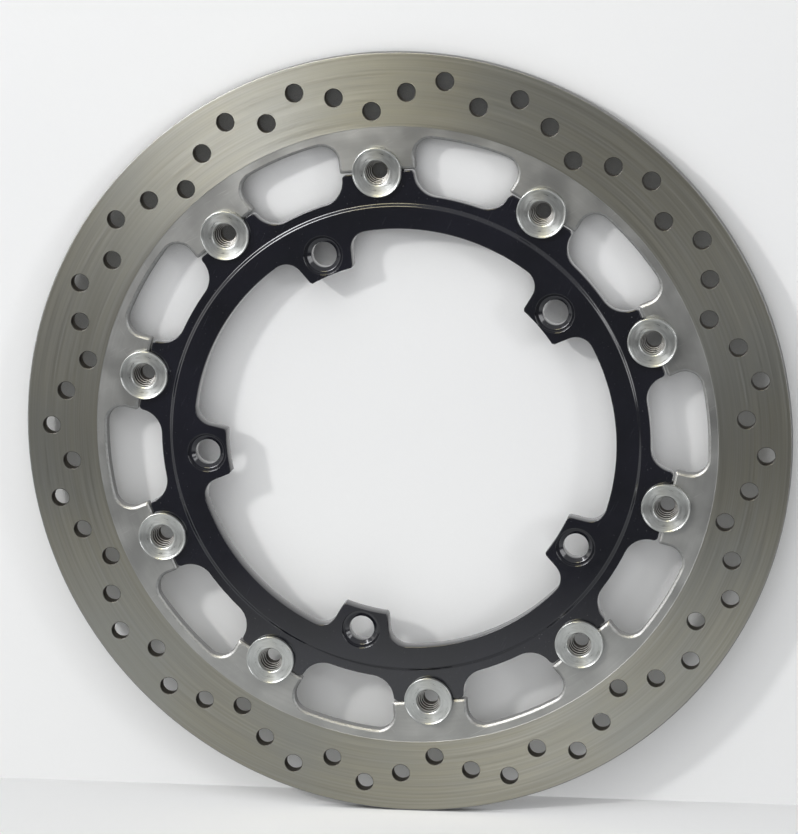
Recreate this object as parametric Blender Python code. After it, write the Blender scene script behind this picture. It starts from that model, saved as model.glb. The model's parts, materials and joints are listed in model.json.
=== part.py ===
# Floating motorcycle brake disc: a drilled friction ring, the carrier that
# bolts to the wheel hub, and ten drive bobbins between them, each with a wave
# washer and a flat washer behind it.
#
# Metres.  The disc stands upright: its axis is Y, the outboard face looks
# towards -Y, +Z is up, and the origin is the disc's centre at mid thickness.
# Flat outlines are lists of (across, up) points, which become X and Z.
import math

import bmesh
import bpy
from mathutils import Vector
from mathutils.geometry import delaunay_2d_cdt

MM = 0.001

# ---- friction ring ----------------------------------------------------------
RING_RADIUS = 152.5 * MM           # 305 mm disc
RING_HALF = 2.5 * MM               # half of the 5 mm thickness
WINDOW_RADIUS = 120.0 * MM         # outer arc of the ten windows
RING_LUG_HALF = 14.9 * MM          # half width of a drive lug
RING_LUG_FILLET = 6.65 * MM        # window corner
RING_LUG_CORNER = 0.6 * MM
BEVEL_WIDTH = 1.1 * MM             # bright bevel round the inner edge
BEVEL_DEPTH = 0.5 * MM
DRILL_RADIUS = 3.5 * MM
# One drilled group per bobbin: (degrees from the bobbin, radius).
DRILL_GROUP = (
    (-12.0, 142.5 * MM), (-6.0, 137.1 * MM), (0.0, 130.1 * MM),
    (6.0, 137.1 * MM), (12.0, 142.5 * MM), (18.0, 135.1 * MM))

# ---- drive stations ---------------------------------------------------------
STATIONS = 10
STATION_PHASE = 22.5               # first bobbin, degrees from +X towards +Z
STATION_CIRCLE = 106.5 * MM        # the bobbins' centres
SPLIT_GAP = 0.7 * MM               # ring lug to carrier arm
SHANK_RADIUS = 7.0 * MM
NOTCH_RADIUS = 7.35 * MM           # half-round seats in ring lug and arm

# ---- carrier ----------------------------------------------------------------
ARM_HALF_THICK = 2.5 * MM
HUB_HALF_THICK = 3.3 * MM          # raised inner zone and bolt lugs
STEP_OUTER = 94.2 * MM             # the sloping step between the two
STEP_INNER = 92.5 * MM
ARM_ROOT = 97.5 * MM               # inner arc of the windows
ARM_HALF = 14.2 * MM
ARM_FILLET = 9.7 * MM
ARM_CORNER = 1.6 * MM
CARRIER_INNER = 84.2 * MM

# ---- bolt lugs --------------------------------------------------------------
BOLTS = 5
BOLT_PHASE = 40.5
BOLT_CIRCLE = 79.5 * MM
BOLT_HOLE_RADIUS = 5.0 * MM
SEAT_RADIUS = 7.6 * MM             # counterbore for the bolt's head
SEAT_DEPTH = 1.2 * MM
CONE_RADIUS = 6.4 * MM             # short cone from the seat to the hole
CONE_DEPTH = 2.2 * MM
TIP_RADIUS = 71.25 * MM            # the lug tips clear the hub's spigot
TIP_HALF = 9.15 * MM
TIP_CORNER = 0.8 * MM
LUG_FILLET = 7.0 * MM
LUG_FILLET_ACROSS = 17.7 * MM      # from the lug's middle to the fillet centre

# ---- washers and bobbins, stacked along +Y behind the ring -------------------
FLOAT_GAP = 0.5 * MM               # clearance that lets the ring float
PIECE_GAP = 0.3 * MM
WASHER_IN = 7.35 * MM
WASHER_OUT = 9.5 * MM
WAVES = 3
WAVE_HEIGHT = 0.2 * MM
WAVE_THICK = 0.4 * MM
WAVE_MIDDLE = RING_HALF + FLOAT_GAP + WAVE_HEIGHT + WAVE_THICK / 2
FLAT_THICK = 0.9 * MM
FLAT_FRONT = WAVE_MIDDLE + WAVE_THICK / 2 + WAVE_HEIGHT + PIECE_GAP
FLAT_BACK = FLAT_FRONT + FLAT_THICK
ROLL_FRONT = FLAT_BACK + PIECE_GAP  # rolled-over end of the bobbin
ROLL_BACK = ROLL_FRONT + 1.0 * MM
ROLL_RADIUS = 8.7 * MM
FLANGE_BACK = -RING_HALF - FLOAT_GAP
FLANGE_RADIUS = 9.7 * MM
# Closed bobbin section as (radius, Y): flange rim, raised lip, dished face,
# lip of the bore, stepped bore, rolled end and shank.
BOBBIN_SECTION = (
    (FLANGE_RADIUS, FLANGE_BACK), (FLANGE_RADIUS, -4.6 * MM),
    (9.2 * MM, -4.9 * MM), (8.6 * MM, -4.5 * MM), (5.8 * MM, -4.1 * MM),
    (5.3 * MM, -4.5 * MM), (4.75 * MM, -4.2 * MM), (4.75 * MM, -2.2 * MM),
    (3.9 * MM, -1.6 * MM), (3.9 * MM, -0.2 * MM), (3.05 * MM, 0.4 * MM),
    (3.05 * MM, ROLL_BACK), (ROLL_RADIUS, ROLL_BACK),
    (ROLL_RADIUS, ROLL_FRONT), (SHANK_RADIUS, ROLL_FRONT),
    (SHANK_RADIUS, FLANGE_BACK))

# ---- facets per round feature ------------------------------------------------
RIM_FACETS = 144
STEP_FACETS = 72
SEAT_FACETS = 20
BOBBIN_FACETS = 20
WASHER_FACETS = 18
DRILL_FACETS = 12
FILLET_FACETS = 6
ARC_FACETS = 4                     # long arcs, half a window or half a bay
NOTCH_FACETS = 4                   # half of a half-round seat
CORNER_FACETS = 2

SHARP_ANGLE = math.radians(35.0)

# name: (colour, roughness, metallic)
FINISH = {
    "ring_steel": ((0.30, 0.29, 0.25), 0.36, 1.0),
    "carrier_black": ((0.012, 0.012, 0.015), 0.22, 0.0),
    "bobbin_metal": ((0.60, 0.60, 0.57), 0.28, 1.0),
    "spring_steel": ((0.35, 0.35, 0.36), 0.35, 1.0),
    "washer_steel": ((0.55, 0.55, 0.54), 0.40, 1.0),
}


def clear_scene():
    for obj in list(bpy.data.objects):
        bpy.data.objects.remove(obj, do_unlink=True)


def material(name):
    mat = bpy.data.materials.get(name)
    if mat is None:
        colour, roughness, metallic = FINISH[name]
        mat = bpy.data.materials.new(name)
        mat.use_nodes = True
        shader = mat.node_tree.nodes["Principled BSDF"]
        shader.inputs["Base Color"].default_value = (*colour, 1.0)
        shader.inputs["Roughness"].default_value = roughness
        shader.inputs["Metallic"].default_value = metallic
    return mat


# ---- outlines ----------------------------------------------------------------
def on_circle(radius, degrees):
    a = math.radians(degrees)
    return radius * math.cos(a), radius * math.sin(a)


def arc(centre, radius, start, end, facets):
    """Points from start to end degrees, with both ends."""
    points = []
    for i in range(facets + 1):
        x, y = on_circle(radius, start + (end - start) * i / facets)
        points.append((centre[0] + x, centre[1] + y))
    return points


def circle(centre, radius, facets):
    return arc(centre, radius, 0.0, 360.0, facets)[:-1]


def fillet_centre(across, radius):
    """Centre of a corner: its distance across and its radius from the axis."""
    return across, math.sqrt(radius * radius - across * across)


def bearing(point):
    return math.degrees(math.atan2(point[1], point[0]))


def notch(level):
    """Half of a half-round seat, from its mouth at a level to the middle."""
    rise = level - STATION_CIRCLE
    mouth = math.degrees(math.asin(rise / NOTCH_RADIUS))
    bottom = math.copysign(90.0, rise)
    return arc((0.0, STATION_CIRCLE), NOTCH_RADIUS, mouth, bottom,
               NOTCH_FACETS)


def repeat_half(half, count, phase):
    """Mirror half an outline about the up line, then repeat it round the axis.

    The half starts midway to the next copy and ends on the up line, so both
    of its end points would be doubled: one of each pair is left out.
    """
    mirrored = [(-x, y) for x, y in reversed(half[1:-1])]
    outline = []
    for k in range(count):
        turn = math.radians(phase + 360.0 * k / count - 90.0)
        c, s = math.cos(turn), math.sin(turn)
        outline += [(x * c - y * s, x * s + y * c) for x, y in half + mirrored]
    return outline


def ring_inner_edge(grow):
    """Windows and drive lugs; grow moves the whole edge into the ring."""
    corner = fillet_centre(RING_LUG_HALF + RING_LUG_FILLET,
                           WINDOW_RADIUS - RING_LUG_FILLET)
    end = STATION_CIRCLE + SPLIT_GAP / 2 + grow
    side = RING_LUG_HALF - grow
    half = arc((0.0, 0.0), WINDOW_RADIUS + grow, 90.0 - 180.0 / STATIONS,
               bearing(corner), ARC_FACETS // 2)[:-1]
    half += arc(corner, RING_LUG_FILLET + grow, bearing(corner), 180.0,
                FILLET_FACETS)
    half += [(side, end + RING_LUG_CORNER), (side - RING_LUG_CORNER, end)]
    half += notch(end)
    return repeat_half(half, STATIONS, STATION_PHASE)


def carrier_outer_edge():
    """Arms that reach out to the bobbins, and the windows between them."""
    corner = fillet_centre(ARM_HALF + ARM_FILLET, ARM_ROOT + ARM_FILLET)
    top = STATION_CIRCLE - SPLIT_GAP / 2
    half = arc((0.0, 0.0), ARM_ROOT, 90.0 - 180.0 / STATIONS,
               bearing(corner), ARC_FACETS // 2)[:-1]
    half += arc(corner, ARM_FILLET, bearing(corner) - 180.0, -180.0,
                FILLET_FACETS)
    half += arc((ARM_HALF - ARM_CORNER, top - ARM_CORNER), ARM_CORNER,
                0.0, 90.0, CORNER_FACETS)
    half += notch(top)
    return repeat_half(half, STATIONS, STATION_PHASE)


def carrier_inner_edge():
    """Bays and bolt lugs; each lug narrows to a tip concentric with the hub."""
    corner = fillet_centre(LUG_FILLET_ACROSS, CARRIER_INNER - LUG_FILLET)
    tip_half_angle = math.degrees(math.asin(TIP_HALF / TIP_RADIUS))
    tip_side = (TIP_HALF, TIP_RADIUS * math.cos(math.radians(tip_half_angle))
                + TIP_CORNER)
    # The side of the lug leaves the fillet along the tangent to the tip.
    to_tip = (tip_side[0] - corner[0], tip_side[1] - corner[1])
    lean = math.degrees(math.acos(LUG_FILLET / math.hypot(*to_tip)))
    leave = bearing(to_tip) % 360.0 - lean
    tip_start = 90.0 - tip_half_angle + math.degrees(TIP_CORNER / TIP_RADIUS)
    half = arc((0.0, 0.0), CARRIER_INNER, 90.0 - 180.0 / BOLTS,
               bearing(corner), ARC_FACETS)[:-1]
    half += arc(corner, LUG_FILLET, bearing(corner), leave, FILLET_FACETS)
    half.append(tip_side)
    half += arc((0.0, 0.0), TIP_RADIUS, tip_start, 90.0, CORNER_FACETS)
    return repeat_half(half, BOLTS, BOLT_PHASE)


# ---- solids from outlines -----------------------------------------------------
def lay_loop(bm, outline, depth):
    return [bm.verts.new((x, depth, z)) for x, z in outline]


def wall(bm, first, second):
    for i in range(len(first)):
        j = (i + 1) % len(first)
        bm.faces.new((first[i], first[j], second[j], second[i]))


def encloses(loop, point):
    """True if the flat loop of (x, z) points goes round the point."""
    hit = False
    for i in range(len(loop)):
        (x1, z1), (x2, z2) = loop[i - 1], loop[i]
        if (z1 > point[1]) != (z2 > point[1]):
            cross = x1 + (x2 - x1) * (point[1] - z1) / (z2 - z1)
            hit ^= point[0] < cross
    return hit


def cap(bm, loops):
    """Flat face inside the first loop of vertices and outside the others."""
    flat = [[(v.co.x, v.co.z) for v in loop] for loop in loops]
    verts, edges = [], []
    for loop in loops:
        start, size = len(verts), len(loop)
        verts += loop
        edges += [(start + i, start + (i + 1) % size) for i in range(size)]
    points = [Vector(p) for loop in flat for p in loop]
    cut = delaunay_2d_cdt(points, edges, [], 0, 1e-9)
    new_points, new_faces, sources = cut[0], cut[2], cut[3]
    for face in new_faces:
        middle = sum((new_points[i] for i in face), Vector((0, 0))) / len(face)
        if encloses(flat[0], middle):
            if not any(encloses(hole, middle) for hole in flat[1:]):
                bm.faces.new([verts[sources[i][0]] for i in face])


def turn_section(bm, section, facets):
    """Revolve a closed (radius, Y) section once round the Y axis."""
    verts = [bm.verts.new((radius, y, 0.0)) for radius, y in section]
    edges = [bm.edges.new((verts[i - 1], verts[i])) for i in range(len(verts))]
    bmesh.ops.spin(bm, geom=verts + edges, cent=(0, 0, 0), axis=(0, 1, 0),
                   angle=math.tau, steps=facets, use_merge=True)


def make_object(bm, name, finish, centre=(0.0, 0.0)):
    bmesh.ops.recalc_face_normals(bm, faces=bm.faces)
    mesh = bpy.data.meshes.new(name)
    bm.to_mesh(mesh)
    bm.free()
    mesh.materials.append(material(finish))
    mesh.shade_smooth()
    mesh.set_sharp_from_angle(angle=SHARP_ANGLE)
    obj = bpy.data.objects.new(name, mesh)
    obj.location = (centre[0], 0.0, centre[1])
    bpy.context.scene.collection.objects.link(obj)


# ---- the pieces -----------------------------------------------------------------
def station_angle(k):
    return STATION_PHASE + 360.0 * k / STATIONS


def build_friction_ring():
    bm = bmesh.new()
    rim = circle((0.0, 0.0), RING_RADIUS, RIM_FACETS)
    edge, face_edge = ring_inner_edge(0.0), ring_inner_edge(BEVEL_WIDTH)
    holes = []
    for k in range(STATIONS):
        for offset, radius in DRILL_GROUP:
            centre = on_circle(radius, station_angle(k) + offset)
            holes.append(circle(centre, DRILL_RADIUS, DRILL_FACETS))
    sides = []
    for side in (-1, 1):
        face, bevel = side * RING_HALF, side * (RING_HALF - BEVEL_DEPTH)
        loops = [lay_loop(bm, o, face) for o in [rim, face_edge] + holes]
        cap(bm, loops)
        inner = lay_loop(bm, edge, bevel)
        wall(bm, loops[1], inner)
        sides.append([loops[0], inner] + loops[2:])
    for front, back in zip(*sides):
        wall(bm, front, back)
    make_object(bm, "friction_ring", "ring_steel")


def build_carrier():
    bm = bmesh.new()
    centres = [on_circle(BOLT_CIRCLE, BOLT_PHASE + 360.0 * k / BOLTS)
               for k in range(BOLTS)]
    sides = []
    for side, hole_radius in ((-1, SEAT_RADIUS), (1, BOLT_HOLE_RADIUS)):
        arm, hub = side * ARM_HALF_THICK, side * HUB_HALF_THICK
        outer = lay_loop(bm, carrier_outer_edge(), arm)
        low = lay_loop(bm, circle((0, 0), STEP_OUTER, STEP_FACETS), arm)
        high = lay_loop(bm, circle((0, 0), STEP_INNER, STEP_FACETS), hub)
        inner = lay_loop(bm, carrier_inner_edge(), hub)
        holes = [lay_loop(bm, circle(c, hole_radius, SEAT_FACETS), hub)
                 for c in centres]
        cap(bm, [outer, low])
        wall(bm, low, high)
        cap(bm, [high, inner] + holes)
        sides.append((outer, inner, holes))
    front, back = sides
    wall(bm, front[0], back[0])
    wall(bm, front[1], back[1])
    profile = ((SEAT_RADIUS, SEAT_DEPTH), (CONE_RADIUS, SEAT_DEPTH),
               (BOLT_HOLE_RADIUS, CONE_DEPTH))
    for centre, mouth, far_mouth in zip(centres, front[2], back[2]):
        last = mouth
        for radius, depth in profile:
            level = depth - HUB_HALF_THICK
            step = lay_loop(bm, circle(centre, radius, SEAT_FACETS), level)
            wall(bm, last, step)
            last = step
        wall(bm, last, far_mouth)
    make_object(bm, "carrier", "carrier_black")


def build_bobbin(number, centre):
    bm = bmesh.new()
    turn_section(bm, BOBBIN_SECTION, BOBBIN_FACETS)
    make_object(bm, f"bobbin_{number:02d}", "bobbin_metal", centre)


def build_washer(kind, finish, number, centre, front, back, wave):
    """Flat ring, or one whose level rises and falls WAVES times per turn."""
    bm = bmesh.new()
    section = ((WASHER_OUT, front), (WASHER_OUT, back),
               (WASHER_IN, back), (WASHER_IN, front))
    turn_section(bm, section, WASHER_FACETS)
    for vert in bm.verts:
        turn = math.atan2(vert.co.z, vert.co.x)
        vert.co.y += wave * math.sin(WAVES * turn)
    make_object(bm, f"{kind}_{number:02d}", finish, centre)


def build_station(k):
    number, centre = k + 1, on_circle(STATION_CIRCLE, station_angle(k))
    build_bobbin(number, centre)
    build_washer("wave_washer", "spring_steel", number, centre,
                 WAVE_MIDDLE - WAVE_THICK / 2, WAVE_MIDDLE + WAVE_THICK / 2,
                 WAVE_HEIGHT)
    build_washer("flat_washer", "washer_steel", number, centre,
                 FLAT_FRONT, FLAT_BACK, 0.0)


def main():
    clear_scene()
    build_carrier()
    build_friction_ring()
    for k in range(STATIONS):
        build_station(k)


main()
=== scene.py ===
"""Looks of a floating motorcycle brake disc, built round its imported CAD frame.

The disc stands upright: its axis is Y, the outboard face looks towards -Y and
+Z is up.  Flat outlines are lists of (across, up) points, which become X and Z.
"""
import json
import math

import bmesh
import bpy
from mathutils import Matrix, Vector
from mathutils.geometry import delaunay_2d_cdt

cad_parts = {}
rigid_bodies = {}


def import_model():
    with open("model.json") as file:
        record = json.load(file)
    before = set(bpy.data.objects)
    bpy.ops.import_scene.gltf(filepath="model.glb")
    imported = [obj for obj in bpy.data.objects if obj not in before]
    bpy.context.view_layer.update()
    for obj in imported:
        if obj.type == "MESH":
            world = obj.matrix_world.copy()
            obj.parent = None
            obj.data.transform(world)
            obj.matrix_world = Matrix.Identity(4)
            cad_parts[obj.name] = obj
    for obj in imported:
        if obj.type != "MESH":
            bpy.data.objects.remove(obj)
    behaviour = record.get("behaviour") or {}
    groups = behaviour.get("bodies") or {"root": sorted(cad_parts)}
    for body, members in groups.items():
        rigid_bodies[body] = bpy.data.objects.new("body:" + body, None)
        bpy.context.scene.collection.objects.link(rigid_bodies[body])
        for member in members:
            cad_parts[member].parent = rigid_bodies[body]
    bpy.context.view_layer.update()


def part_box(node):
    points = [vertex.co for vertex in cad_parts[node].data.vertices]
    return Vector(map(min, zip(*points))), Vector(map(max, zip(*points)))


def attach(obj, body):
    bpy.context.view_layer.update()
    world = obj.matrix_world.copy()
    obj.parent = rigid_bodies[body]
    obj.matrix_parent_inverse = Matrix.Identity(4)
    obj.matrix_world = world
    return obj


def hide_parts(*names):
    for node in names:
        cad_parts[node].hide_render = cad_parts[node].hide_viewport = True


for leftover in list(bpy.data.objects):
    bpy.data.objects.remove(leftover, do_unlink=True)
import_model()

MM = 0.001
ring_low, ring_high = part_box("friction_ring")
carrier_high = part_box("carrier")[1]

# ---- friction ring ----------------------------------------------------------
RING_RADIUS = ring_high.x
RING_HALF = ring_high.y
RIM_ROUND = 0.35 * MM
BAND_RADIUS = 124.0 * MM           # inner limit of the ground pad track
LAND_DROP = 0.07 * MM              # the land inside it lies a little lower
LAND_SLOPE = 0.25 * MM
WINDOW_RADIUS = 120.0 * MM
RING_LUG_HALF = 14.9 * MM
RING_LUG_FILLET = 6.65 * MM
RING_LUG_CORNER = 0.6 * MM
# Window edge as (distance into the ring, depth): a bevel with a soft foot.
WINDOW_EDGE = ((1.05 * MM, LAND_DROP), (0.90 * MM, 0.12 * MM),
               (0.14 * MM, 0.46 * MM), (0.0, 0.62 * MM))
DRILL_RADIUS = 3.5 * MM
DRILL_ROUND = 0.22 * MM
DRILL_GROUP = (
    (-12.0, 142.5 * MM), (-6.0, 137.1 * MM), (0.0, 130.1 * MM),
    (6.0, 137.1 * MM), (12.0, 142.5 * MM), (18.0, 135.1 * MM))

# ---- drive stations ---------------------------------------------------------
STATIONS = 10
STATION_PHASE = 22.5
STATION_CIRCLE = 106.5 * MM
SPLIT_GAP = 0.7 * MM
NOTCH_RADIUS = 7.35 * MM

# ---- carrier ----------------------------------------------------------------
ARM_HALF_THICK = 2.5 * MM
HUB_HALF_THICK = carrier_high.y
STEP_FOOT, STEP_HEAD = 94.3 * MM, 92.7 * MM   # soft step from arms to hub
ARM_ROOT = 97.5 * MM
ARM_HALF = 14.2 * MM
ARM_FILLET = 9.7 * MM
ARM_CORNER = 1.6 * MM
CARRIER_INNER = 84.2 * MM
CARRIER_ROUND = 0.22 * MM

# ---- bolt lugs --------------------------------------------------------------
BOLTS = 5
BOLT_PHASE = 40.5
BOLT_CIRCLE = 79.5 * MM
# Bolt hole from the outboard face inwards, as (radius, depth).
SEAT = ((7.82, 0.0), (7.70, 0.05), (7.62, 0.17), (7.60, 0.40), (7.58, 1.00),
        (7.45, 1.17), (7.25, 1.22), (6.75, 1.20), (6.55, 1.22), (6.40, 1.34),
        (5.25, 2.05), (5.05, 2.22), (5.00, 2.50), (5.00, 6.30), (5.08, 6.50),
        (5.25, 6.60))
TIP_RADIUS = 71.25 * MM
TIP_HALF = 9.15 * MM
TIP_CORNER = 0.8 * MM
LUG_FILLET = 7.0 * MM
LUG_FILLET_ACROSS = 17.7 * MM

# ---- turned pieces as (radius, Y) in millimetres ----------------------------
LIP = ((7.00, -3.00), (9.45, -3.00), (9.62, -3.07), (9.70, -3.25),
       (9.70, -4.50), (9.67, -4.70), (9.58, -4.84), (9.46, -4.90),
       (9.36, -4.90), (9.27, -4.85), (9.20, -4.76))
DISH = ((9.10, -4.69), (8.70, -4.63), (8.00, -4.55), (7.00, -4.46),
        (6.00, -4.39), (5.40, -4.36))
BORE_LIP = ((5.20, -4.34), (5.02, -4.27), (4.88, -4.14), (4.80, -3.98))
BORE_OUT, BORE_IN, BORE_STEP = 4.75, 3.05, 0.425   # radii of the stepped bore
BORE_START, BORE_PITCH = -3.95, 1.55               # and Y of its steps
# Soft shoulder between two steps, as (distance inwards, along the bore).
BORE_SOFT = ((0.0, -0.12), (0.07, -0.03), (BORE_STEP - 0.07, 0.03),
             (BORE_STEP, 0.12))
TAIL = ((3.05, 5.90), (3.12, 6.15), (3.35, 6.28), (3.60, 6.30),
        (8.10, 6.30), (8.40, 6.25), (8.62, 6.10), (8.70, 5.88),
        (8.70, 5.55), (8.64, 5.37), (8.50, 5.30), (7.00, 5.30))
WASHER_IN = 7.35
WASHER_OUT = 9.5
WASHER_SOFT = 0.1
WAVES = 3
WAVE_HEIGHT = 0.2

# ---- facets of round features, and meshing ----------------------------------
RIM_FACETS = 360
DRILL_FACETS = 48
SEAT_FACETS = 72
TURNED_FACETS = 96
FILLET_FACETS = 14
ARC_FACETS = 14
NOTCH_FACETS = 12
CORNER_FACETS = 5
ROUND_STEPS = 3
STEP_FACETS = 12
SHARP_ANGLE = math.radians(38.0)
WHOLE_HULL = 0       # what the triangulation returns
MERGE_GAP = 1e-9


# ---- outlines ---------------------------------------------------------------
def on_circle(radius, degrees):
    a = math.radians(degrees)
    return radius * math.cos(a), radius * math.sin(a)


def arc(centre, radius, start, end, facets):
    """Points from start to end degrees, with both ends."""
    points = []
    for i in range(facets + 1):
        x, y = on_circle(radius, start + (end - start) * i / facets)
        points.append((centre[0] + x, centre[1] + y))
    return points


def circle(centre, radius, facets):
    return arc(centre, radius, 0.0, 360.0, facets)[:-1]


def rim_circle(radius):
    return circle((0.0, 0.0), radius, RIM_FACETS)


def bearing(point):
    return math.degrees(math.atan2(point[1], point[0]))


def fillet_centre(across, radius):
    """Centre of a corner: its distance across and its radius from the axis."""
    return across, math.sqrt(radius * radius - across * across)


def notch(level):
    """Half of a half-round seat, from its mouth at a level to the middle."""
    rise = level - STATION_CIRCLE
    mouth = math.degrees(math.asin(rise / NOTCH_RADIUS))
    bottom = math.copysign(90.0, rise)
    return arc((0.0, STATION_CIRCLE), NOTCH_RADIUS, mouth, bottom, NOTCH_FACETS)


def repeat_half(half, count, phase):
    """Mirror half an outline about the up line, then repeat it round the axis."""
    mirrored = [(-x, y) for x, y in reversed(half[1:-1])]
    outline = []
    for k in range(count):
        turn = math.radians(phase + 360.0 * k / count - 90.0)
        c, s = math.cos(turn), math.sin(turn)
        outline += [(x * c - y * s, x * s + y * c) for x, y in half + mirrored]
    return outline


def ring_inner_edge(grow):
    """Windows and drive lugs; grow moves the whole edge into the ring."""
    corner = fillet_centre(RING_LUG_HALF + RING_LUG_FILLET,
                           WINDOW_RADIUS - RING_LUG_FILLET)
    end = STATION_CIRCLE + SPLIT_GAP / 2 + grow
    side = RING_LUG_HALF - grow
    half = arc((0.0, 0.0), WINDOW_RADIUS + grow, 90.0 - 180.0 / STATIONS,
               bearing(corner), ARC_FACETS)[:-1]
    half += arc(corner, RING_LUG_FILLET + grow, bearing(corner), 180.0,
                FILLET_FACETS)
    half += arc((side - RING_LUG_CORNER, end + RING_LUG_CORNER),
                RING_LUG_CORNER, 0.0, -90.0, CORNER_FACETS)
    half += notch(end)
    return repeat_half(half, STATIONS, STATION_PHASE)


def carrier_outer_edge():
    """Arms that reach out to the bobbins, and the windows between them."""
    corner = fillet_centre(ARM_HALF + ARM_FILLET, ARM_ROOT + ARM_FILLET)
    top = STATION_CIRCLE - SPLIT_GAP / 2
    half = arc((0.0, 0.0), ARM_ROOT, 90.0 - 180.0 / STATIONS,
               bearing(corner), ARC_FACETS)[:-1]
    half += arc(corner, ARM_FILLET, bearing(corner) - 180.0, -180.0,
                FILLET_FACETS)
    half += arc((ARM_HALF - ARM_CORNER, top - ARM_CORNER), ARM_CORNER,
                0.0, 90.0, CORNER_FACETS)
    half += notch(top)
    return repeat_half(half, STATIONS, STATION_PHASE)


def carrier_inner_edge():
    """Bays and bolt lugs; each lug narrows to a tip concentric with the hub."""
    corner = fillet_centre(LUG_FILLET_ACROSS, CARRIER_INNER - LUG_FILLET)
    tip_half_angle = math.degrees(math.asin(TIP_HALF / TIP_RADIUS))
    tip_side = (TIP_HALF, TIP_RADIUS * math.cos(math.radians(tip_half_angle))
                + TIP_CORNER)
    to_tip = (tip_side[0] - corner[0], tip_side[1] - corner[1])
    lean = math.degrees(math.acos(LUG_FILLET / math.hypot(*to_tip)))
    leave = bearing(to_tip) % 360.0 - lean
    tip_start = 90.0 - tip_half_angle + math.degrees(TIP_CORNER / TIP_RADIUS)
    half = arc((0.0, 0.0), CARRIER_INNER, 90.0 - 180.0 / BOLTS,
               bearing(corner), ARC_FACETS * 2)[:-1]
    half += arc(corner, LUG_FILLET, bearing(corner), leave, FILLET_FACETS)
    half.append(tip_side)
    half += arc((0.0, 0.0), TIP_RADIUS, tip_start, 90.0, CORNER_FACETS)
    return repeat_half(half, BOLTS, BOLT_PHASE)


def shifted(outline, distance):
    """The anticlockwise outline moved outwards by a small distance."""
    moved = []
    for i, (x, y) in enumerate(outline):
        before, after = outline[i - 1], outline[(i + 1) % len(outline)]
        first = Vector((y - before[1], before[0] - x)).normalized()
        second = Vector((after[1] - y, x - after[0])).normalized()
        mitre = (first + second) * (distance / (1.0 + first.dot(second)))
        moved.append((x + mitre.x, y + mitre.y))
    return moved


def quarter_round(radius):
    """(distance in from the edge, depth below the face) over a rounded edge."""
    turns = [math.pi / 2 * i / ROUND_STEPS for i in range(ROUND_STEPS + 1)]
    return [(radius * (1 - math.sin(a)), radius * (1 - math.cos(a)))
            for a in turns]


# ---- meshes -----------------------------------------------------------------
def lay_loop(bm, outline, depth):
    """Vertices of the outline at one Y."""
    return [bm.verts.new((x, depth, z)) for x, z in outline]


def wall(bm, first, second, finish=0):
    """Strip of faces between two loops with as many vertices."""
    for i in range(len(first)):
        j = (i + 1) % len(first)
        face = bm.faces.new((first[i], first[j], second[j], second[i]))
        face.smooth = True
        face.material_index = finish


def encloses(loop, point):
    """True if the flat loop goes round the point."""
    hit = False
    for i in range(len(loop)):
        (x1, z1), (x2, z2) = loop[i - 1], loop[i]
        if (z1 > point[1]) != (z2 > point[1]):
            cross = x1 + (x2 - x1) * (point[1] - z1) / (z2 - z1)
            hit ^= point[0] < cross
    return hit


def spans(loop):
    xs, zs = zip(*loop)
    return min(xs), max(xs), min(zs), max(zs)


def cap(bm, loops, finish=0):
    """Flat face inside the first loop of vertices and outside the others."""
    flat = [[(v.co.x, v.co.z) for v in loop] for loop in loops]
    reach = [spans(loop) for loop in flat]
    verts, edges = [], []
    for loop in loops:
        start, size = len(verts), len(loop)
        verts += loop
        edges += [(start + i, start + (i + 1) % size) for i in range(size)]
    points = [Vector(p) for loop in flat for p in loop]
    cut = delaunay_2d_cdt(points, edges, [], WHOLE_HULL, MERGE_GAP)
    new_points, new_faces, sources = cut[0], cut[2], cut[3]
    for face in new_faces:
        x, z = sum((new_points[i] for i in face), Vector((0, 0))) / len(face)
        inside = [k for k, (x0, x1, z0, z1) in enumerate(reach)
                  if x0 < x < x1 and z0 < z < z1 and encloses(flat[k], (x, z))]
        if inside == [0]:
            made = bm.faces.new([verts[sources[i][0]] for i in face])
            made.material_index = finish


def edge_loops(bm, outlines, side, finish=0):
    """Strips from a face over an edge; outlines are (outline, level) pairs."""
    loops = [lay_loop(bm, outline, side * level) for outline, level in outlines]
    for first, second in zip(loops, loops[1:]):
        wall(bm, first, second, finish)
    return loops[0], loops[-1]


def rounded_edge(bm, outline, inwards, side, face, radius, finish=0):
    """Rounded edge of an outline; inwards is -1 if material lies inside it."""
    return edge_loops(bm, [(shifted(outline, inwards * inset), face - depth)
                           for inset, depth in quarter_round(radius)],
                      side, finish)


def make_piece(bm, name, body, slot, finishes, centre=(0.0, 0.0)):
    """Object of the mesh that rides on a body and stands for its CAD node."""
    bmesh.ops.recalc_face_normals(bm, faces=bm.faces)
    for edge in bm.edges:
        edge.smooth = edge.calc_face_angle(math.pi) < SHARP_ANGLE
    mesh = bpy.data.meshes.new(name + "_look")
    bm.to_mesh(mesh)
    bm.free()
    for finish in finishes:
        mesh.materials.append(finish)
    return place(mesh, name, body, slot, centre)


def place(mesh, name, body, slot, centre):
    obj = bpy.data.objects.new(name + "_look", mesh)
    obj.location = (centre[0], 0.0, centre[1])
    bpy.context.scene.collection.objects.link(obj)
    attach(obj, body)
    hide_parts(name)
    return obj


# ---- material building ------------------------------------------------------
# Painted shade: the grazing shine on walls inside holes and bores is tinted down
# to darken them.
PAINTED_SHADE_EDGE = (0.35, 0.34, 0.33, 1.0)   # shine left on walls seen at a slant


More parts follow.
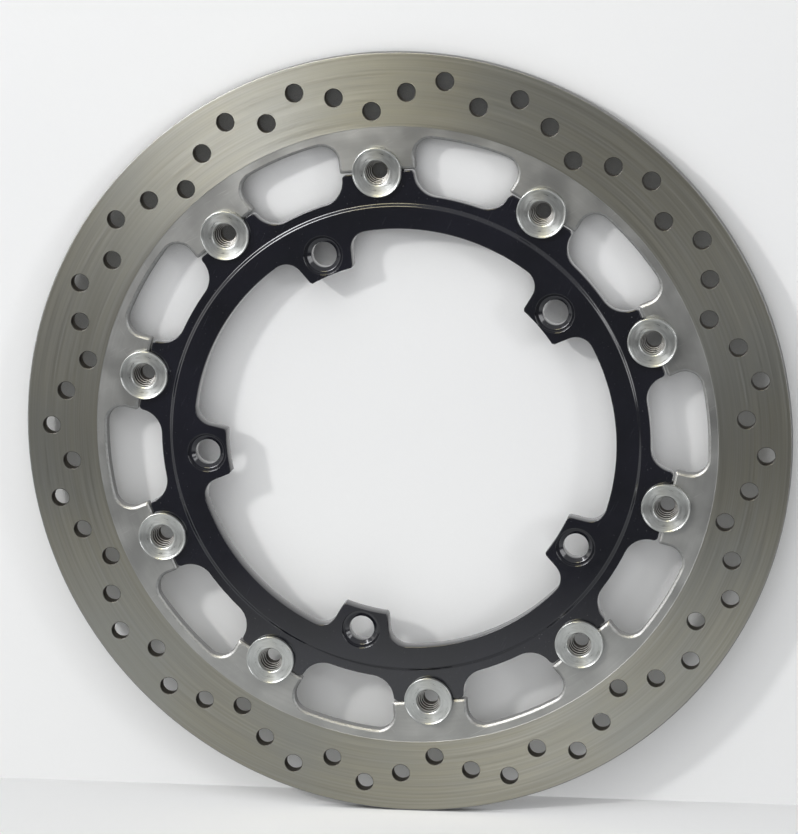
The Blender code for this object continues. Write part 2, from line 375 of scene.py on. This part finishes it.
class Finish:
    """A node material with short calls for the nodes that it needs."""

    def __init__(self, name):
        self.mat = bpy.data.materials.new(name)
        self.mat.use_nodes = True
        self.tree = self.mat.node_tree
        self.shader = self.tree.nodes["Principled BSDF"]
        self.place = self.tree.nodes.new("ShaderNodeTexCoord").outputs["Object"]

    def put(self, node, socket, value):
        target = node.inputs[socket]
        if isinstance(value, bpy.types.NodeSocket):
            self.tree.links.new(value, target)
        else:
            target.default_value = value

    def surface(self, **values):
        for name, value in values.items():
            self.put(self.shader, name.replace("_", " "), value)

    def maths(self, operation, first, second=0.0, third=0.0):
        node = self.tree.nodes.new("ShaderNodeMath")
        node.operation = operation
        for i, value in enumerate((first, second, third)):
            self.put(node, i, value)
        return node.outputs[0]

    def vector(self, operation, *values):
        node = self.tree.nodes.new("ShaderNodeVectorMath")
        node.operation = operation
        for i, value in enumerate(values):
            self.put(node, i, value)
        scalar = operation in ("LENGTH", "DOT_PRODUCT")
        return node.outputs["Value" if scalar else "Vector"]

    def combine(self, x, y, z):
        node = self.tree.nodes.new("ShaderNodeCombineXYZ")
        for i, value in enumerate((x, y, z)):
            self.put(node, i, value)
        return node.outputs[0]

    def noise(self, vector, scale=1.0, detail=3.0, roughness=0.55):
        node = self.tree.nodes.new("ShaderNodeTexNoise")
        self.put(node, "Vector", vector)
        self.put(node, "Scale", scale)
        self.put(node, "Detail", detail)
        self.put(node, "Roughness", roughness)
        return node.outputs["Fac"]

    def spread(self, value, low, high, to_low=0.0, to_high=1.0):
        node = self.tree.nodes.new("ShaderNodeMapRange")
        for i, part in enumerate((value, low, high, to_low, to_high)):
            self.put(node, i, part)
        return node.outputs[0]

    def blend(self, share, first, second, mode="MIX"):
        """Colour mix; the node's colour inputs are 6 and 7, its output 2."""
        node = self.tree.nodes.new("ShaderNodeMix")
        node.data_type = "RGBA"
        node.blend_type = mode
        self.put(node, 0, share)
        for socket, value in ((6, first), (7, second)):
            if isinstance(value, tuple):
                value = (*value, 1.0)
            self.put(node, socket, value)
        return node.outputs[2]

    def bump(self, height, distance, strength=1.0):
        node = self.tree.nodes.new("ShaderNodeBump")
        self.put(node, "Height", height)
        self.put(node, "Distance", distance)
        self.put(node, "Strength", strength)
        return node.outputs["Normal"]

    def polar(self):
        """Distance from the Y axis, and the unit vector that points there."""
        flat = self.vector("MULTIPLY", self.place, (1.0, 0.0, 1.0))
        return self.vector("LENGTH", flat), self.vector("NORMALIZE", flat)

    def streaks(self, around, across, detail=3.0):
        """Noise drawn out round the axis: lines per turn and per metre."""
        radius, unit = self.polar()
        level = self.combine(0.0, self.maths("MULTIPLY", radius, across), 0.0)
        point = self.vector("MULTIPLY_ADD", unit, (around,) * 3, level)
        return self.noise(point, 1.0, detail)

    def scratches(self, turn, length, width, share):
        """Straight fine scratches, as a mask that is 1 on a scratch."""
        c, s = math.cos(turn), math.sin(turn)
        along = self.vector("DOT_PRODUCT", self.place, (c, 0.0, s))
        across = self.vector("DOT_PRODUCT", self.place, (-s, 0.0, c))
        point = self.combine(self.maths("MULTIPLY", along, 1.0 / length),
                             self.maths("MULTIPLY", across, 1.0 / width), turn)
        return self.spread(self.noise(point, 1.0, 1.0), share, share + 0.05)

    def turned_sheen(self, amount):
        """Highlight drawn out across grooves that run round the Y axis."""
        node = self.tree.nodes.new("ShaderNodeTangent")
        node.direction_type = "RADIAL"
        node.axis = "Y"
        self.surface(Anisotropic=amount, Anisotropic_Rotation=0.25,
                     Tangent=node.outputs[0])


def band_steel():
    """Pad track: olive grey stainless, ground round the axis by the pads."""
    f = Finish("ring_band")
    fine = f.streaks(2.0, 1300.0, 4.0)
    broad = f.streaks(1.2, 420.0, 2.0)
    patch = f.noise(f.place, 16.0, 2.0)
    colour = f.blend(f.spread(fine, 0.35, 0.68), (0.302, 0.293, 0.250),
                     (0.365, 0.358, 0.318))
    colour = f.blend(f.spread(broad, 0.40, 0.66, 0.0, 0.35), colour,
                     (0.378, 0.362, 0.288))
    colour = f.blend(f.spread(patch, 0.42, 0.62, 0.0, 0.45), colour,
                     (0.315, 0.322, 0.308))
    rough = f.spread(fine, 0.30, 0.70, 0.33, 0.41)
    f.surface(Base_Color=colour, Metallic=1.0, Roughness=rough,
              Normal=f.bump(fine, 0.00003, 0.6))
    f.turned_sheen(0.75)
    return f.mat


def land_steel():
    """Land between pad track and windows: paler satin, nicked and scratched."""
    f = Finish("ring_land")
    brushed = f.streaks(3.0, 900.0, 3.0)
    cloud = f.noise(f.place, 60.0, 3.0)
    marks = f.maths("MAXIMUM", f.scratches(0.5, 0.011, 0.00035, 0.72),
                    f.scratches(2.2, 0.008, 0.00030, 0.73))
    colour = f.blend(f.spread(cloud, 0.35, 0.68), (0.36, 0.36, 0.35),
                     (0.44, 0.44, 0.43))
    colour = f.blend(f.spread(brushed, 0.35, 0.70, 0.0, 0.30), colour,
                     (0.32, 0.32, 0.315))
    colour = f.blend(f.maths("MULTIPLY", marks, 0.4), colour, (0.62, 0.62, 0.61))
    f.surface(Base_Color=colour, Metallic=1.0,
              Roughness=f.spread(cloud, 0.3, 0.7, 0.34, 0.44),
              Normal=f.bump(brushed, 0.00001, 0.3))
    f.turned_sheen(0.3)
    return f.mat


def bevel_steel():
    """Machined bevels and the rim: bright, with feed marks."""
    f = Finish("ring_bevel")
    feed = f.noise(f.vector("MULTIPLY", f.place, (900.0, 2600.0, 900.0)), 1.0,
                   2.0)
    colour = f.blend(f.spread(feed, 0.35, 0.65), (0.26, 0.26, 0.255),
                     (0.34, 0.34, 0.335))
    f.surface(Base_Color=colour, Metallic=1.0,
              Roughness=f.spread(feed, 0.3, 0.7, 0.42, 0.52),
              Normal=f.bump(feed, 0.00001, 0.2))
    return f.mat


def bore_steel():
    """Walls of the drilled holes: rougher, with cross marks, and painted shade
    that makes them much darker than the faces.
    """
    f = Finish("ring_cut")
    feed = f.noise(f.vector("MULTIPLY", f.place, (250.0, 3000.0, 250.0)), 1.0,
                   3.0)
    # Painted shade: these dark colours stand in for the shade inside the holes.
    colour = f.blend(f.spread(feed, 0.35, 0.65), (0.05, 0.048, 0.045),
                     (0.12, 0.115, 0.105))
    f.surface(Base_Color=colour, Metallic=1.0,
              Roughness=f.spread(feed, 0.3, 0.7, 0.34, 0.48),
              Specular_Tint=PAINTED_SHADE_EDGE, Normal=f.bump(feed, 0.00003, 0.4))
    return f.mat


def carrier_black():
    """Hard black coating: glossy, slightly wavy, with dust and fine rubs."""
    f = Finish("carrier_coating")
    peel = f.noise(f.place, 420.0, 2.0)
    cloud = f.noise(f.place, 30.0, 2.0)
    dust = f.spread(f.noise(f.place, 1500.0, 1.0), 0.74, 0.79)
    rub = f.scratches(1.1, 0.010, 0.0003, 0.715)
    colour = f.blend(f.spread(cloud, 0.35, 0.65), (0.0046, 0.0050, 0.0082),
                     (0.0078, 0.0080, 0.0135))
    colour = f.blend(f.maths("MULTIPLY", dust, 0.25), colour,
                     (0.30, 0.30, 0.29))
    colour = f.blend(f.maths("MULTIPLY", rub, 0.06), colour,
                     (0.30, 0.30, 0.32))
    f.surface(Base_Color=colour, Metallic=0.0, IOR=1.52,
              Roughness=f.spread(peel, 0.3, 0.7, 0.11, 0.17),
              Coat_Weight=0.5, Coat_Roughness=0.06,
              Normal=f.bump(peel, 0.00003, 0.12))
    return f.mat


def turned_metal(name, dark, pale, rough, sheen, pitch):
    """Lathe-turned metal: fine rings round the axis and a drawn-out sheen."""
    f = Finish(name)
    rings = f.streaks(2.5, pitch, 3.0)
    grain = f.noise(f.place, 2200.0, 2.0)
    colour = f.blend(f.spread(rings, 0.35, 0.65), dark, pale)
    colour = f.blend(f.spread(grain, 0.45, 0.75, 0.0, 0.3), colour,
                     tuple(0.8 * c for c in dark))
    f.surface(Base_Color=colour, Metallic=1.0,
              Roughness=f.spread(rings, 0.3, 0.7, rough - 0.05, rough + 0.07),
              Normal=f.bump(rings, 0.00002, 0.5))
    f.turned_sheen(sheen)
    return f.mat


def bore_metal():
    """Bore of a bobbin: walls darkened as painted shade, and a bright ring of
    plain metal on each step.
    """
    f = Finish("bobbin_bore")
    radius = f.polar()[0]
    rings = f.streaks(2.5, 2400.0, 3.0)
    phase = f.maths("MULTIPLY_ADD", radius, math.tau / (BORE_STEP * MM),
                    -math.tau * BORE_IN / BORE_STEP)
    # Painted shade: the walls between the steps are made dark; the shoulders keep
    # the pale metal.
    painted_shade_on_wall = f.spread(f.maths("COSINE", phase), -0.6, 0.8)
    bright = f.blend(f.spread(rings, 0.35, 0.65), (0.44, 0.43, 0.41),
                     (0.60, 0.59, 0.57))
    colour = f.blend(painted_shade_on_wall, bright, (0.10, 0.095, 0.09))
    f.surface(Base_Color=colour, Metallic=1.0,
              Roughness=f.spread(rings, 0.3, 0.7, 0.30, 0.42),
              Specular_Tint=PAINTED_SHADE_EDGE, Normal=f.bump(rings, 0.00002, 0.4))
    return f.mat


def sprung_steel():
    """Wave washers: grey, grainy, with a faint straw tint."""
    f = Finish("spring_steel")
    grain = f.noise(f.place, 1400.0, 3.0)
    tint = f.noise(f.place, 120.0, 2.0)
    colour = f.blend(f.spread(grain, 0.35, 0.65), (0.30, 0.30, 0.31),
                     (0.42, 0.42, 0.43))
    colour = f.blend(f.spread(tint, 0.45, 0.65, 0.0, 0.35), colour,
                     (0.33, 0.29, 0.22))
    f.surface(Base_Color=colour, Metallic=1.0,
              Roughness=f.spread(grain, 0.3, 0.7, 0.28, 0.42),
              Normal=f.bump(grain, 0.00002, 0.4))
    return f.mat


# ---- the pieces -------------------------------------------------------------
BAND, LAND, BEVEL, CUT = range(4)


def station_angle(k):
    return STATION_PHASE + 360.0 * k / STATIONS


def drill_circles():
    centres = [on_circle(radius, station_angle(k) + offset)
               for k in range(STATIONS) for offset, radius in DRILL_GROUP]
    return [circle(centre, DRILL_RADIUS, DRILL_FACETS) for centre in centres]


def ring_side(bm, side):
    """One face of the ring; returns the loops where its edges meet the walls."""
    land = RING_HALF - LAND_DROP
    rim_top, rim = rounded_edge(bm, rim_circle(RING_RADIUS), -1, side,
                                RING_HALF, RIM_ROUND, BEVEL)
    band_end, land_start = edge_loops(
        bm, [(rim_circle(BAND_RADIUS), RING_HALF),
             (rim_circle(BAND_RADIUS - LAND_SLOPE), land)], side, LAND)
    drilled = [rounded_edge(bm, hole, 1, side, RING_HALF, DRILL_ROUND, CUT)
               for hole in drill_circles()]
    land_end, window = edge_loops(
        bm, [(ring_inner_edge(grow), RING_HALF - depth)
             for grow, depth in WINDOW_EDGE], side, BEVEL)
    cap(bm, [rim_top, band_end] + [hole[0] for hole in drilled], BAND)
    cap(bm, [land_start, land_end], LAND)
    return [(rim, BEVEL), (window, BEVEL)] + [(h[1], CUT) for h in drilled]


def build_friction_ring():
    bm = bmesh.new()
    for (front, finish), (back, _) in zip(ring_side(bm, -1), ring_side(bm, 1)):
        wall(bm, front, back, finish)
    finishes = [band_steel(), land_steel(), bevel_steel(), bore_steel()]
    make_piece(bm, "friction_ring", "friction_ring", "ring_steel", finishes)


def carrier_side(bm, side, bolt_loops):
    """One face of the carrier; returns its outer and inner wall loops."""
    rise = HUB_HALF_THICK - ARM_HALF_THICK
    arm_top, outer = rounded_edge(bm, carrier_outer_edge(), -1, side,
                                  ARM_HALF_THICK, CARRIER_ROUND)
    step = []
    for i in range(STEP_FACETS + 1):
        share = i / STEP_FACETS
        radius = STEP_FOOT + (STEP_HEAD - STEP_FOOT) * share
        level = ARM_HALF_THICK + rise * (1 - math.cos(math.pi * share)) / 2
        step.append((rim_circle(radius), level))
    step_foot, step_head = edge_loops(bm, step, side)
    bay_top, inner = rounded_edge(bm, carrier_inner_edge(), 1, side,
                                  HUB_HALF_THICK, CARRIER_ROUND)
    cap(bm, [arm_top, step_foot])
    cap(bm, [step_head, bay_top] + bolt_loops)
    return outer, inner


def bolt_hole(bm, centre):
    """Seat, cone and hole; returns the loops on the two faces."""
    loops = [lay_loop(bm, circle(centre, radius * MM, SEAT_FACETS),
                      depth * MM - HUB_HALF_THICK) for radius, depth in SEAT]
    for first, second in zip(loops, loops[1:]):
        wall(bm, first, second)
    return loops[0], loops[-1]


def build_carrier():
    bm = bmesh.new()
    bolts = [bolt_hole(bm, on_circle(BOLT_CIRCLE, BOLT_PHASE + 360 * k / BOLTS))
             for k in range(BOLTS)]
    front = carrier_side(bm, -1, [mouth for mouth, _ in bolts])
    back = carrier_side(bm, 1, [end for _, end in bolts])
    for near, far in zip(front, back):
        wall(bm, near, far)
    make_piece(bm, "carrier", "carrier", "carrier_black", [carrier_black()])


def turned(section):
    """Closed (radius, Y) section in millimetres, turned once round Y."""
    bm = bmesh.new()
    loops = [lay_loop(bm, circle((0.0, 0.0), radius * MM, TURNED_FACETS),
                      level * MM) for radius, level in section]
    for first, second in zip(loops, loops[1:] + loops[:1]):
        wall(bm, first, second)
    return bm


def bobbin_section():
    """Flange with raised lip, dished face, stepped bore and rolled tail."""
    bore = []
    for i in range(round((BORE_OUT - BORE_IN) / BORE_STEP)):
        radius = BORE_OUT - BORE_STEP * i
        end = BORE_START + BORE_PITCH * (i + 1)
        bore += [(radius - inwards, end + along) for inwards, along in BORE_SOFT]
    return (*LIP, *DISH, *BORE_LIP, *bore, *TAIL)


def washer_section(front, back):
    """Flat ring with softened corners."""
    corners = ((WASHER_OUT, front), (WASHER_OUT, back), (WASHER_IN, back),
               (WASHER_IN, front))
    middle = (WASHER_OUT + WASHER_IN) / 2
    section = []
    for i, (radius, level) in enumerate(corners):
        inwards = WASHER_SOFT if radius < middle else -WASHER_SOFT
        along = WASHER_SOFT if level == front else -WASHER_SOFT
        pair = [(radius + inwards, level), (radius, level + along)]
        section += pair if i % 2 == 0 else pair[::-1]
    return section


def washer_levels(name):
    low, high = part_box(name)
    return low.y / MM, high.y / MM


def build_bobbin(name, centre, finishes):
    """Turned bobbin; the bore beyond its lip has the second finish."""
    bm = turned(bobbin_section())
    for face in bm.faces:
        middle = face.calc_center_median()
        if math.hypot(middle.x, middle.z) < BORE_OUT * MM:
            face.material_index = 1
    make_piece(bm, name, name, "bobbin_metal", finishes, centre)


def build_stations():
    """Ten bobbins, each with its wave washer and flat washer."""
    bobbin_metal = turned_metal("bobbin_metal", (0.48, 0.49, 0.475),
                                (0.58, 0.59, 0.575), 0.32, 0.75, 2200.0)
    bore_finish = bore_metal()
    washer_metal = turned_metal("washer_steel", (0.44, 0.44, 0.43),
                                (0.60, 0.60, 0.59), 0.36, 0.3, 2600.0)
    spring_metal = sprung_steel()
    for k in range(STATIONS):
        number = f"{k + 1:02d}"
        name = "bobbin_" + number
        low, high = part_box(name)
        centre = ((low.x + high.x) / 2, (low.z + high.z) / 2)
        build_bobbin(name, centre, [bobbin_metal, bore_finish])
        washer = "flat_washer_" + number
        make_piece(turned(washer_section(*washer_levels(washer))), washer,
                   name, "washer_steel", [washer_metal], centre)
        washer = "wave_washer_" + number
        low_y, high_y = washer_levels(washer)
        bm = turned(washer_section(low_y + WAVE_HEIGHT, high_y - WAVE_HEIGHT))
        for vert in bm.verts:
            turn = math.atan2(vert.co.z, vert.co.x)
            vert.co.y += WAVE_HEIGHT * MM * math.sin(WAVES * turn)
        make_piece(bm, washer, name, "spring_steel", [spring_metal], centre)


# ---- stage, lights and camera -----------------------------------------------
LEAN = math.radians(2.5)           # the disc leans back against the wall
STAGE_HALF = 30.0
WALL_SHADE, FLOOR_SHADE = 0.90, 0.97
# Contact shadow: how far it looks, and the open share from which and to which
# the paint goes from its darkest to its full shade.
CONTACT_REACH = 0.013
CONTACT_SAMPLES = 8
CONTACT = (0.10, 0.58, 0.14, 1.0)
# The table's shine on the metal fades out, and is dimmer close to the disc.
GLOW_NEAR, GLOW_FAR, GLOW = 0.22, 0.46, 0.74
SHADE_NEAR, SHADE_FAR, SHADE = 0.03, 0.18, 0.52
# World strength by direction, as (from, to, strength at from, strength at to).
WORLD_RAMP = (-0.06, 0.03, 0.14, 0.58)    # brighter upwards
WALL_SIDE = (0.0, 0.25, 1.0, 0.35)        # dimmer towards the wall

# Lights for the paint cast the shadows; the others shine on the metal.
PAINT, METAL = (True, False), (False, True)
DAYLIGHT = (0.98, 0.99, 1.0)
LIGHTS = (
    # name, place, size, watts, colour, what it lights
    ("key", (-0.92, -0.97, 0.67), 0.12, 6.3, (1.0, 1.0, 0.99), PAINT),
    ("side", (1.75, -1.45, 0.50), 0.34, 5.9, DAYLIGHT, PAINT),
    ("fill", (0.15, -1.95, 1.00), 2.0, 7.0, DAYLIGHT, PAINT),
    ("table_bounce", (-0.10, -1.00, -0.65), 1.4, 3.6, DAYLIGHT, PAINT),
    ("overhead", (-0.20, -1.35, 1.90), 1.6, 11.0, DAYLIGHT, PAINT),
    ("left_sheen", (-0.82, -1.05, 0.76), 0.62, 18.5, (0.98, 0.985, 1.0),
     METAL),
    ("left_wide", (-1.60, -1.20, 0.20), 1.2, 6.0, (1.0, 0.99, 0.97), METAL),
    ("right_sheen", (1.75, -1.45, 0.50), 1.1, 12.0, DAYLIGHT, METAL),
    ("top_sheen", (-0.45, -1.50, 1.20), 0.5, 9.0, (1.0, 0.90, 0.56), METAL),
    ("back", (-0.40, 2.20, 0.60), 4.0, 24.0, (1.0, 1.0, 1.0), METAL))

CAMERA_PLACE = (0.2101, -1.2154, 0.2674)
CAMERA_AIM = (0.03094, 0.0, 0.00945)
CAMERA_ROLL = math.radians(-0.75)
CAMERA_LENS, CAMERA_SENSOR, CAMERA_SHIFT = 138.13, 36.0, -0.0995


def stage_paint(name, shade):
    """Pale paint with a painted contact shadow where the disc is close, seen from
    its front only so that no view is blocked.
    """
    f = Finish(name)
    cloud = f.noise(f.place, 3.0, 2.0)
    tooth = f.noise(f.place, 260.0, 2.0)
    colour = f.blend(f.spread(cloud, 0.35, 0.65), (shade - 0.03,) * 3,
                     (shade, shade, shade - 0.008))
    # Painted contact shadow: the paint darkens where the disc is close in front
    # of it, by its ambient occlusion.
    near = f.tree.nodes.new("ShaderNodeAmbientOcclusion")
    near.samples = CONTACT_SAMPLES
    f.put(near, "Distance", CONTACT_REACH)
    painted_shadow_share = f.spread(near.outputs["AO"], *CONTACT)
    colour = f.blend(1.0, colour, f.combine(*[painted_shadow_share] * 3), "MULTIPLY")
    f.surface(Base_Color=colour, Roughness=0.75,
              Normal=f.bump(tooth, 0.0003, 0.2))
    nodes, links = f.tree.nodes, f.tree.links
    side = nodes.new("ShaderNodeNewGeometry").outputs["Backfacing"]
    clear = nodes.new("ShaderNodeBsdfTransparent")
    mix = nodes.new("ShaderNodeMixShader")
    links.new(side, mix.inputs[0])
    links.new(f.shader.outputs[0], mix.inputs[1])
    links.new(clear.outputs[0], mix.inputs[2])
    links.new(mix.outputs[0], nodes["Material Output"].inputs["Surface"])
    return f.mat


def table_glow():
    """The pale table as the metal sees it, fading away from the disc."""
    f = Finish("table_glow")
    apart = f.tree.nodes.new("ShaderNodeSeparateXYZ")
    f.put(apart, 0, f.place)
    glow = f.spread(apart.outputs["Y"], -GLOW_FAR, -GLOW_NEAR, 0.0, GLOW)
    shade = f.spread(apart.outputs["Y"], -SHADE_FAR, -SHADE_NEAR, 1.0, SHADE)
    glow = f.maths("MULTIPLY", glow, shade)
    f.surface(Base_Color=(0.0, 0.0, 0.0, 1.0), Emission_Strength=glow,
              Emission_Color=(0.95, 0.98, 1.0, 1.0))
    return f.mat


def stage_plane(name, corners, paint, mirrored=False):
    """Plane that only the camera sees, or only the metal if mirrored."""
    mesh = bpy.data.meshes.new(name)
    mesh.from_pydata(corners, [], [(0, 1, 2, 3)])
    mesh.materials.append(paint)
    obj = bpy.data.objects.new(name, mesh)
    bpy.context.scene.collection.objects.link(obj)
    obj.visible_diffuse = False
    obj.visible_shadow = False
    obj.visible_camera = not mirrored
    obj.visible_glossy = mirrored


def build_stage():
    """Floor under the ring's back edge and the wall that it leans on."""
    up = Vector((0.0, -math.sin(LEAN), math.cos(LEAN)))
    away = Vector((0.0, math.cos(LEAN), math.sin(LEAN)))
    foot = Vector((0.0, RING_HALF, ring_low.z))
    reach = max(Vector((0.0, RING_HALF, ring_high.z)).dot(away),
                max(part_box(f"bobbin_{k + 1:02d}")[1].dot(away)
                    for k in range(STATIONS)))
    crease = foot + away * (reach - foot.dot(away))
    side = Vector((STAGE_HALF, 0.0, 0.0))
    wall_paint = stage_paint("wall_paint", WALL_SHADE)
    floor_paint = stage_paint("floor_paint", FLOOR_SHADE)
    stage_plane("wall", [crease - side, crease + side,
                         crease + side + up * STAGE_HALF,
                         crease - side + up * STAGE_HALF], wall_paint)
    near, far = (crease + away * step for step in (-STAGE_HALF, STAGE_HALF))
    stage_plane("floor", [near - side, near + side, far + side, far - side],
                floor_paint)
    near = crease - away * GLOW_FAR
    stage_plane("table_glow", [near - side, near + side, crease + side,
                               crease - side], table_glow(), True)


def area_light(name, place, size, watts, colour, lights_what):
    """Square light that faces the origin."""
    light = bpy.data.lights.new(name, "AREA")
    light.shape = "RECTANGLE"
    light.size = light.size_y = size
    light.energy = watts
    light.color = colour
    obj = bpy.data.objects.new(name, light)
    obj.location = place
    obj.rotation_mode = "QUATERNION"
    obj.rotation_quaternion = (-Vector(place)).to_track_quat("-Z", "Y")
    obj.visible_diffuse, obj.visible_glossy = lights_what
    bpy.context.scene.collection.objects.link(obj)


def ramp_node(nodes, ramp):
    node = nodes.new("ShaderNodeMapRange")
    for i, value in enumerate(ramp, start=1):
        node.inputs[i].default_value = value
    return node


def build_world():
    """Pale room above the horizon, dark below it beyond the table's edge."""
    world = bpy.data.worlds.new("studio")
    world.use_nodes = True
    nodes, links = world.node_tree.nodes, world.node_tree.links
    direction = nodes.new("ShaderNodeTexCoord")
    parts = nodes.new("ShaderNodeSeparateXYZ")
    height = ramp_node(nodes, WORLD_RAMP)
    behind = ramp_node(nodes, WALL_SIDE)
    product = nodes.new("ShaderNodeMath")
    product.operation = "MULTIPLY"
    background = nodes["Background"]
    background.inputs["Color"].default_value = (0.97, 0.98, 1.0, 1.0)
    links.new(direction.outputs["Generated"], parts.inputs[0])
    links.new(parts.outputs["Z"], height.inputs[0])
    links.new(parts.outputs["Y"], behind.inputs[0])
    links.new(height.outputs[0], product.inputs[0])
    links.new(behind.outputs[0], product.inputs[1])
    links.new(product.outputs[0], background.inputs["Strength"])
    bpy.context.scene.world = world


def build_camera():
    """Long lens, slightly right of and above the disc's axis."""
    data = bpy.data.cameras.new("camera")
    data.sensor_fit = "AUTO"
    data.sensor_width = CAMERA_SENSOR
    data.lens = CAMERA_LENS
    data.shift_x = CAMERA_SHIFT
    camera = bpy.data.objects.new("camera", data)
    look = Vector(CAMERA_AIM) - Vector(CAMERA_PLACE)
    turn = look.to_track_quat("-Z", "Y").to_matrix().to_4x4()
    roll = Matrix.Rotation(CAMERA_ROLL, 4, "Z")
    camera.matrix_world = Matrix.Translation(CAMERA_PLACE) @ turn @ roll
    bpy.context.scene.collection.objects.link(camera)
    bpy.context.scene.camera = camera


build_friction_ring()
build_carrier()
build_stations()
build_stage()
for light in LIGHTS:
    area_light(*light)
build_world()
build_camera()
bpy.context.scene.view_settings.view_transform = "Standard"
